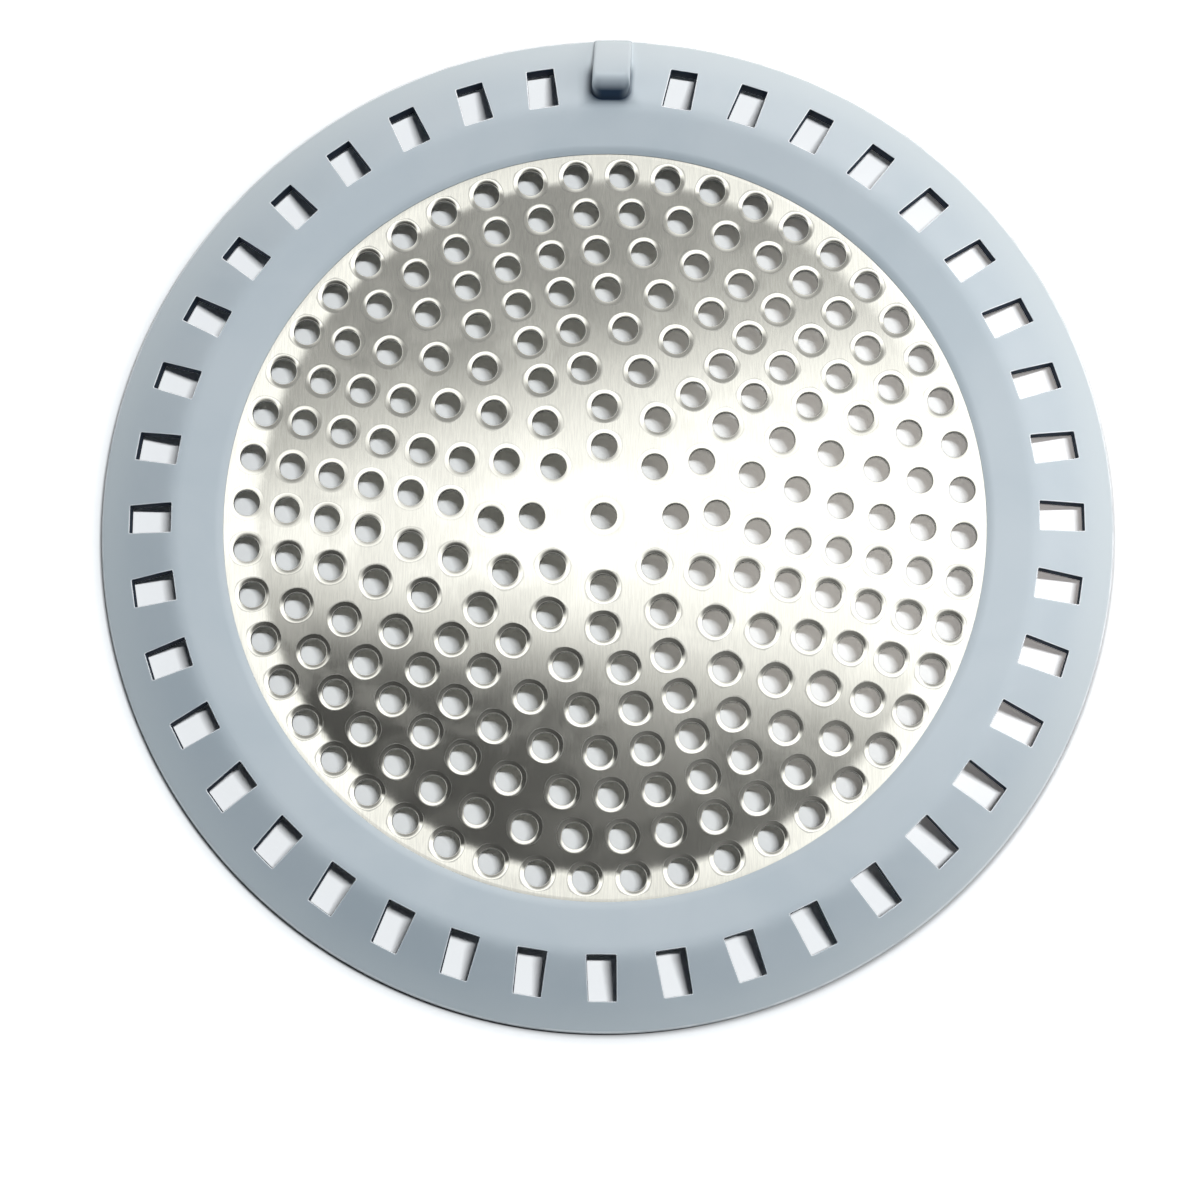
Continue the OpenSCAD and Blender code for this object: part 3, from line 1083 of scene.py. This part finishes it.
# Studio, in metres. The floor shows white outside the cover and, as painted shade, a little less
# under it, and lights the cover less than it shows
floorLook = {
    "reach": 3.0,
    "lighting": 0.22,
    "shown": (1.55, 2.05, 3.7),  # under the plate, under the ring and outside
    "edges": ((0.045, 0.052), (0.0605, 0.064)),
    "colours": ((1.02, 1, 0.985), (1.03, 1, 0.985)),
    "contact": (0.0602, 0.0611),
    "contactTone": 0.3,
    "background": (0.09, 0.2),
}


def addFloor():
    look = floorLook
    mesh = bpy.data.meshes.new("floor")
    corners = [(x * look["reach"], y * look["reach"], 0) for x, y in ((-1, -1), (1, -1), (1, 1), (-1, 1))]
    mesh.from_pydata(corners, [], [(0, 1, 2, 3)])
    floor = bpy.data.objects.new("floor", mesh)
    bpy.context.scene.collection.objects.link(floor)
    material, nodes, links = newMaterial("floor")
    out = nodes.new("ShaderNodeOutputMaterial")
    shader = nodes.new("ShaderNodeBsdfDiffuse")
    path = nodes.new("ShaderNodeLightPath").outputs
    shown = calc(nodes, links, "MAXIMUM", path["Is Camera Ray"], path["Is Glossy Ray"])
    shown = calc(nodes, links, "MAXIMUM", shown, path["Is Transmission Ray"])
    centred = nodes.new("ShaderNodeVectorMath")
    centred.operation = "SUBTRACT"
    centred.inputs[1].default_value = (ring["offCentre"][0] * mm, ring["offCentre"][1] * mm, 0)
    links.new(nodes.new("ShaderNodeTexCoord").outputs["Object"], centred.inputs[0])
    distance = lengthOf(nodes, links, centred.outputs["Vector"])
    underPlate, underRing, outside = look["shown"]
    white = ramp(nodes, links, distance, look["edges"][0], (underPlate, underRing))
    white = ramp(nodes, links, distance, look["edges"][1], (white, outside))
    # A thin line of shade where the rim meets the floor
    contact = ramp(nodes, links, distance, look["contact"], (look["contactTone"], 1))
    insideRim = calc(nodes, links, "LESS_THAN", distance, look["contact"][0])
    white = calc(nodes, links, "MULTIPLY", white, calc(nodes, links, "MAXIMUM", contact, insideRim))
    level = ramp(nodes, links, shown, (0, 1), (look["lighting"], white))
    colour = tint(nodes, links, ramp(nodes, links, distance, look["edges"][0], (0, 1)), *look["colours"])
    scaled = nodes.new("ShaderNodeVectorMath")
    scaled.operation = "SCALE"
    links.new(colour, scaled.inputs[0])
    links.new(level, scaled.inputs["Scale"])
    links.new(scaled.outputs["Vector"], shader.inputs["Color"])
    # Far from the lamps the floor goes over into the white background
    faded = nodes.new("ShaderNodeMixShader")
    far = ramp(nodes, links, distance, look["background"], (0, 1))
    links.new(calc(nodes, links, "MULTIPLY", far, shown), faded.inputs[0])
    links.new(shader.outputs[0], faded.inputs[1])
    links.new(nodes.new("ShaderNodeEmission").outputs[0], faded.inputs[2])
    links.new(faded.outputs[0], out.inputs[0])
    dress(floor, material)


# Lamps: name, direction from the object, distance, width and height in metres, watts and colour
lamps = [
    ("key", (0.245, 0.03, 1), 0.885, 0.22, 0.025, 3.33, (0.94, 1, 1.04)),
    ("right", (0.906, 0, 0.423), 0.45, 0.22, 0.22, 0.57, (1.05, 1, 0.97)),
    ("back", (0.157, 0.893, 0.423), 0.45, 0.22, 0.22, 1.28, (1.065, 0.99, 0.935)),
    ("near right", (0.633, -0.112, 0.766), 0.25, 0.12, 0.12, 0.08, (1.02, 1, 0.99)),
    ("left", (-0.612, -0.354, 0.707), 0.45, 0.22, 0.22, 0.33, (0.94, 1.01, 1.065)),
]
# A soft pool of light on the right side
pool = {
    "direction": (-0.08, -0.21, 1),
    "distance": 0.35,
    "aim": (0.036, 0.002, 0.004),
    "cone": math.radians(14),
    "blend": 1.0,
    "size": 0.01,
    "power": 0.825,
    "colour": (1.04, 1, 0.97),
}


cover = bpy.data.collections.new("cover")
for piece in (ringPiece, platePiece):
    cover.objects.link(piece)


def placeLamp(data, name, direction, distance, aim=(0, 0, 0), coverOnly=False):
    # The lamps light the surfaces, and the studio's own pattern is what shiny ones show.
    # The fills light the cover alone, so that the floor in its holes and slots stays in shade
    lamp = bpy.data.objects.new(name, data)
    if coverOnly:
        lamp.light_linking.receiver_collection = cover
    away = unitRows(np.array(direction, float))
    side = unitRows(np.cross([0, 1, 0], away))
    matrix = np.eye(4)
    matrix[:3, 0], matrix[:3, 1], matrix[:3, 2] = side, np.cross(away, side), away
    matrix[:3, 3] = away * distance + aim
    lamp.matrix_world = Matrix(matrix.tolist())
    lamp.visible_glossy = False
    bpy.context.scene.collection.objects.link(lamp)


def addLamp(name, direction, distance, wide, high, power, colour):
    data = bpy.data.lights.new(name, "AREA")
    data.shape = "RECTANGLE"
    data.size, data.size_y = wide, high
    data.energy, data.color = power, colour
    placeLamp(data, name, direction, distance, coverOnly=name != "key")


def addPool():
    data = bpy.data.lights.new("pool", "SPOT")
    data.spot_size, data.spot_blend, data.shadow_soft_size = pool["cone"], pool["blend"], pool["size"]
    data.energy, data.color = pool["power"], pool["colour"]
    placeLamp(data, "pool", pool["direction"], pool["distance"], pool["aim"])


# What the studio shows to shiny surfaces, by the direction's slopes across (x over z)
# and along (y over z)
studio = {
    "lowEdge": (0.02, 0.15),
    "lowLean": 0.2,
    "highEdge": (0.255, 0.43),
    "highLean": -0.27,
    "strip": 1.7,
    "lowTone": (0.07, 0.25),
    "highTone": (0.36, 0.5),
    "toneAcross": (-0.3, 0.4),
    "sideStart": (0.6, 1.3),
    "sideTone": (0.12, 1.5),
    "sideFacing": (-0.8, -0.3),
    "horizonStart": (1.8, 3.5),
    "horizon": 0.9,
    "leastRise": 0.05,
    "leastAway": 0.01,
    "ambient": 0.0,  # level of the light that comes from the studio itself
}


def studioTone(nodes, links):
    # A bright strip over dark and grey ceilings; lower down the studio is white but for the camera's side
    g = studio
    coordinates = nodes.new("ShaderNodeTexCoord")
    direction = nodes.new("ShaderNodeSeparateXYZ")
    links.new(coordinates.outputs["Generated"], direction.inputs[0])
    x, y, z = direction.outputs
    high = calc(nodes, links, "MAXIMUM", z, g["leastRise"])
    across, along = calc(nodes, links, "DIVIDE", x, high), calc(nodes, links, "DIVIDE", y, high)
    low = ramp(nodes, links, across, g["toneAcross"], g["lowTone"])
    top = ramp(nodes, links, across, g["toneAcross"], g["highTone"])
    lowEdge = calc(nodes, links, "MULTIPLY_ADD", across, g["lowLean"], along)
    highEdge = calc(nodes, links, "MULTIPLY_ADD", across, g["highLean"], along)
    strip = ramp(nodes, links, lowEdge, g["lowEdge"], (low, g["strip"]))
    overhead = ramp(nodes, links, highEdge, g["highEdge"], (strip, top))
    squares = calc(nodes, links, "MULTIPLY_ADD", x, x, calc(nodes, links, "MULTIPLY", y, y))
    away = calc(nodes, links, "SQRT", squares)
    sideways = calc(nodes, links, "DIVIDE", y, calc(nodes, links, "MAXIMUM", away, g["leastAway"]))
    side = ramp(nodes, links, sideways, g["sideFacing"], g["sideTone"])
    spread = calc(nodes, links, "DIVIDE", away, high)
    studioSide = ramp(nodes, links, spread, g["sideStart"], (overhead, side))
    return ramp(nodes, links, spread, g["horizonStart"], (studioSide, g["horizon"]))


def addWorld():
    # Diffuse rays get an even level, shiny surfaces the studio, and the camera plain white
    world = bpy.data.worlds.new("studio")
    bpy.context.scene.world = world
    world.use_nodes = True
    nodes, links = world.node_tree.nodes, world.node_tree.links
    background = nodes["Background"]
    background.inputs["Color"].default_value = (1, 1, 1, 1)
    path = nodes.new("ShaderNodeLightPath").outputs
    seen = calc(nodes, links, "MAXIMUM", path["Is Camera Ray"], path["Is Transmission Ray"])
    plain = between(nodes, links, seen, studio["ambient"], 1.0)
    shown = between(nodes, links, path["Is Glossy Ray"], plain, studioTone(nodes, links))
    links.new(shown, background.inputs["Strength"])


addFloor()
for lamp in lamps:
    addLamp(*lamp)
addPool()
addWorld()
print("studio lit:", len(lamps) + 1, "lamps")
bpy.context.scene.view_settings.view_transform = "Standard"
